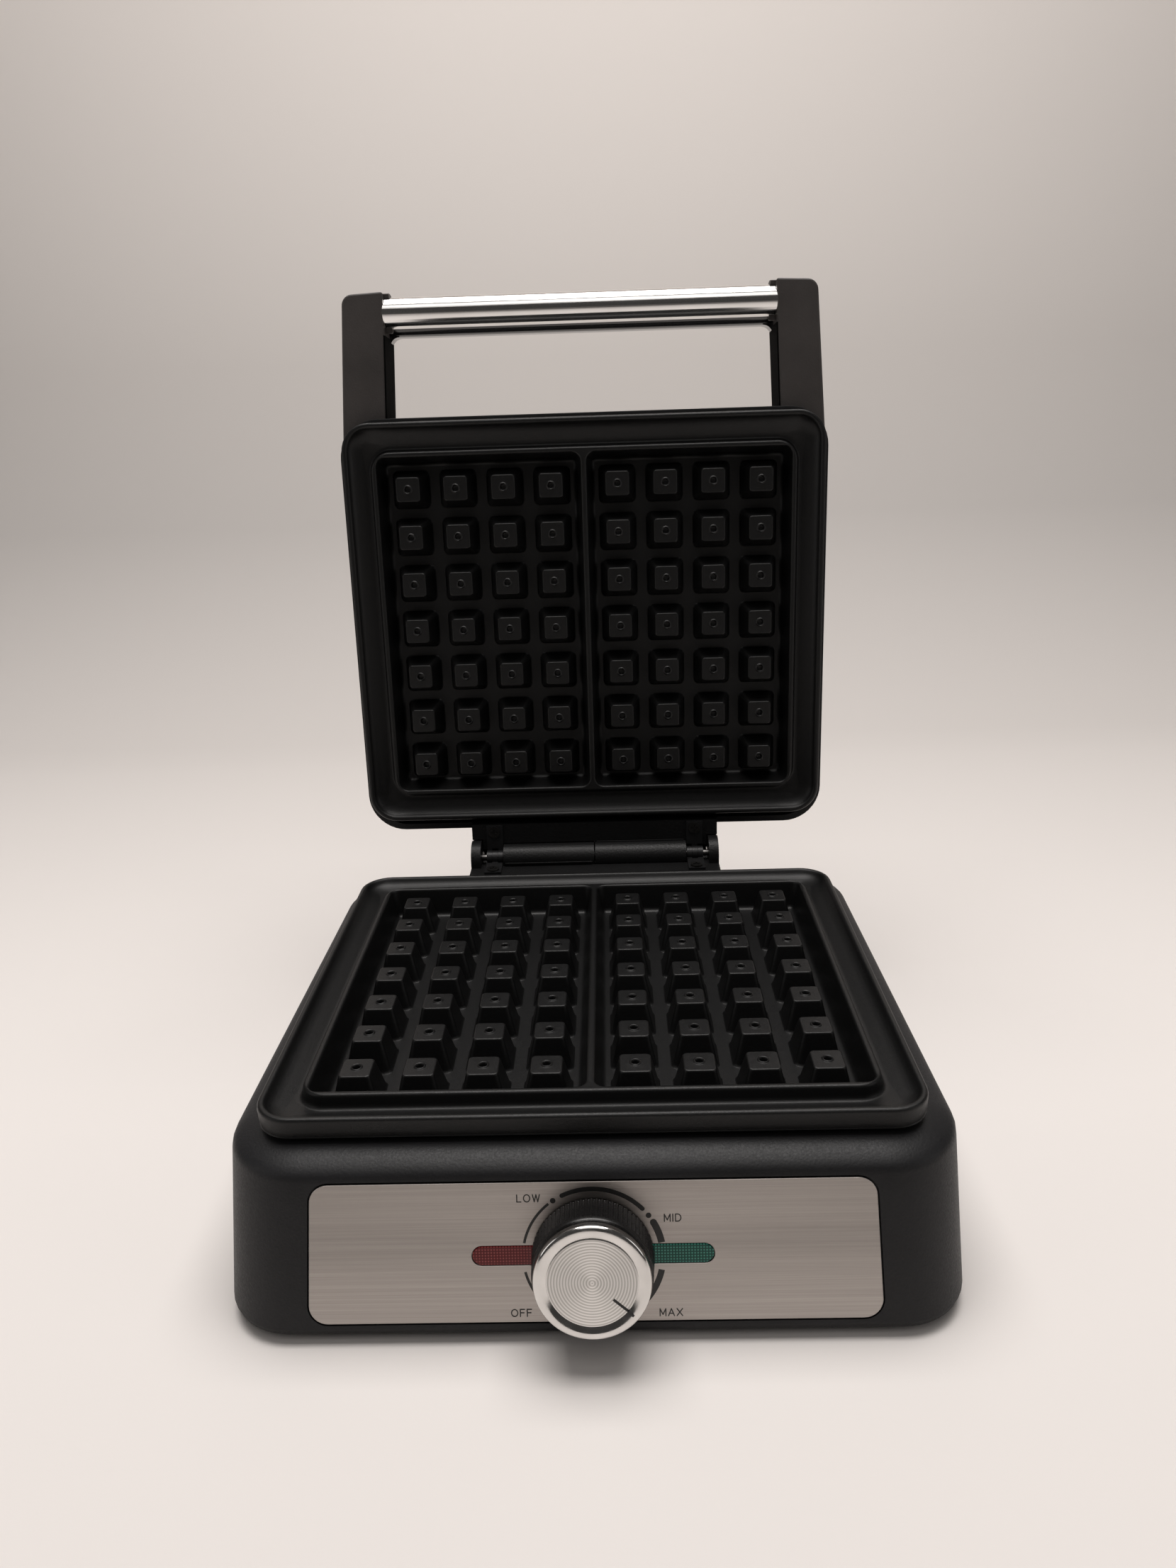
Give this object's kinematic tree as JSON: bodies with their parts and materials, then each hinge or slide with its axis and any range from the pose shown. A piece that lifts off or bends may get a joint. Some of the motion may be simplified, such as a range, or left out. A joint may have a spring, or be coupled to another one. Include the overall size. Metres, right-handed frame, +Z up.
{
  "type": "waffle maker",
  "caption": "Tabletop electric waffle maker, shown open: base with a leaning brushed panel and heat knob, hinged lid with a U handle, and black pegged plates.",
  "frame": {"origin": "on the surface it stands on, under the middle of the whole object with the lid open", "axes": "+Z up, +X to the right as seen from the control panel, -Y the side with the control panel; the hinge runs along X at the back"},
  "size_m": [0.2454, 0.3019, 0.3331],
  "materials": {
    "base_plastic": "fine leather grain, charcoal",
    "cover_plastic": "fine grain, near black",
    "foot_rubber": "matt",
    "plated_steel": "zinc plated",
    "panel_steel": "brushed across",
    "red_lens": "translucent with fine dots",
    "green_lens": "translucent with fine dots",
    "light_plastic": "moulded, off-white",
    "lamp_glass": "clear with a warm core",
    "plate_casting": "cast, with a black non-stick coat",
    "element_steel": "heat-darkened sheath",
    "pan_steel": "aluminised sheet",
    "brass": "plain",
    "ceramic": "glazed ceramic body",
    "fuse_sleeve": "woven glass sleeve",
    "wire_sleeve": "silicone, white",
    "lead_sleeve": "rubber, black",
    "hinge_plastic": "coarse grain, black",
    "hinge_metal": "dark coat",
    "dark_screw": "blackened",
    "pin_steel": "ground",
    "lid_plastic": "fine grain, near black",
    "handle_plastic": "fine leather grain, charcoal",
    "bar_plastic": "half gloss",
    "tube_chrome": "polished",
    "knob_plastic": "fine ribs",
    "cap_chrome": "polished",
    "disc_aluminium": "spun, concentric grooves",
    "pointer_paint": "filled line"
  },
  "bodies": {
    "base": {"base_housing": "base_plastic", "bottom_cover": "cover_plastic", "rubber_feet": "foot_rubber", "bottom_screws": "plated_steel", "control_panel": "panel_steel", "red_lamp_lens": "red_lens", "green_lamp_lens": "green_lens", "lamp_carriers": "light_plastic", "neon_lamps": "lamp_glass", "lower_plate": "plate_casting", "lower_element": "element_steel", "lower_pan": "pan_steel", "lower_plate_screws": "plated_steel", "lower_earth_tag": "brass", "thermostat": "ceramic", "thermostat_bracket": "plated_steel", "thermostat_nut": "plated_steel", "base_thermal_fuse": "fuse_sleeve", "terminal_block": "light_plastic", "base_wiring": "wire_sleeve", "hinge_lead": "lead_sleeve", "cord_gland": "lead_sleeve", "base_hinge_block": "hinge_plastic", "base_hinge_leaves": "hinge_metal", "base_hinge_screws": "dark_screw", "hinge_pins": "pin_steel"},
    "lid": {"lid_housing": "lid_plastic", "upper_plate": "plate_casting", "upper_element": "element_steel", "upper_pan": "pan_steel", "upper_plate_screws": "plated_steel", "upper_earth_tag": "brass", "lid_thermal_fuse": "fuse_sleeve", "lid_wiring": "wire_sleeve", "lid_hinge_block": "hinge_plastic", "lid_hinge_leaves": "hinge_metal", "lid_hinge_screws": "dark_screw", "lid_lead": "lead_sleeve", "left_handle_arm": "handle_plastic", "right_handle_arm": "handle_plastic", "handle_cross_bar": "bar_plastic", "handle_tube": "tube_chrome", "handle_screws": "plated_steel"},
    "knob": {"knob_skirt": "knob_plastic", "knob_cap": "cap_chrome", "knob_disc": "disc_aluminium", "knob_pointer": "pointer_paint", "knob_clip": "pin_steel", "thermostat_shaft": "pin_steel"}
  },
  "joints": [
    {"name": "lid_hinge", "type": "hinge", "parent": "base", "child": "lid", "pos_m": [0, 0.0941, 0.0702], "axis": [1, 0, 0], "range_deg": [0, 94.8]},
    {"name": "knob_turn", "type": "hinge", "parent": "base", "child": "knob", "pos_m": [0, -0.131, 0.02912], "axis": [0, -0.9703, 0.2419], "range_deg": [0, 260]}
  ]
}
